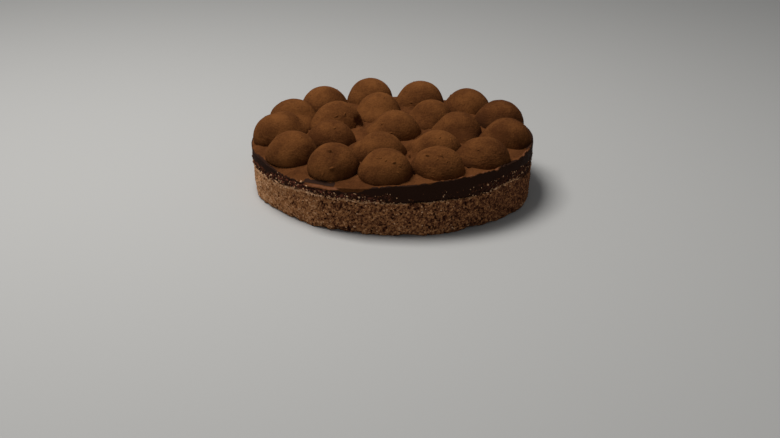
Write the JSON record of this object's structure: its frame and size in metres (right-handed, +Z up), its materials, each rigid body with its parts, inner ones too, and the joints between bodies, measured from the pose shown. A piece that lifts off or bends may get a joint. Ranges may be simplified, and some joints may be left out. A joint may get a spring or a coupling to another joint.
{
  "type": "chocolate truffle cake",
  "caption": "Round chocolate cake: a pressed crumb base, a ganache layer and cocoa-dusted truffle domes set in rings on top.",
  "frame": {"origin": "centre of the footprint, on the surface the cake stands on", "axes": "+Z up; -Y is the front, where the ganache sags on the left and stands high on the right; +X to the right seen from the front"},
  "size_m": [0.1901, 0.1903, 0.0531],
  "materials": {
    "crumb": "dry baked crumb, coarse and matte",
    "ganache": "set dark ganache, satin side, cocoa-dusted top",
    "cocoa": "fine cocoa powder, fully matte"
  },
  "bodies": {
    "root": {"crumb_base": "crumb", "ganache_layer": "ganache", "truffle_outer_01": "cocoa", "truffle_outer_02": "cocoa", "truffle_outer_03": "cocoa", "truffle_outer_04": "cocoa", "truffle_outer_05": "cocoa", "truffle_outer_06": "cocoa", "truffle_outer_07": "cocoa", "truffle_outer_08": "cocoa", "truffle_outer_09": "cocoa", "truffle_outer_10": "cocoa", "truffle_outer_11": "cocoa", "truffle_outer_12": "cocoa", "truffle_outer_13": "cocoa", "truffle_inner_01": "cocoa", "truffle_inner_02": "cocoa", "truffle_inner_03": "cocoa", "truffle_inner_04": "cocoa", "truffle_inner_05": "cocoa", "truffle_inner_06": "cocoa", "truffle_inner_07": "cocoa", "truffle_centre_01": "cocoa"}
  },
  "joints": []
}
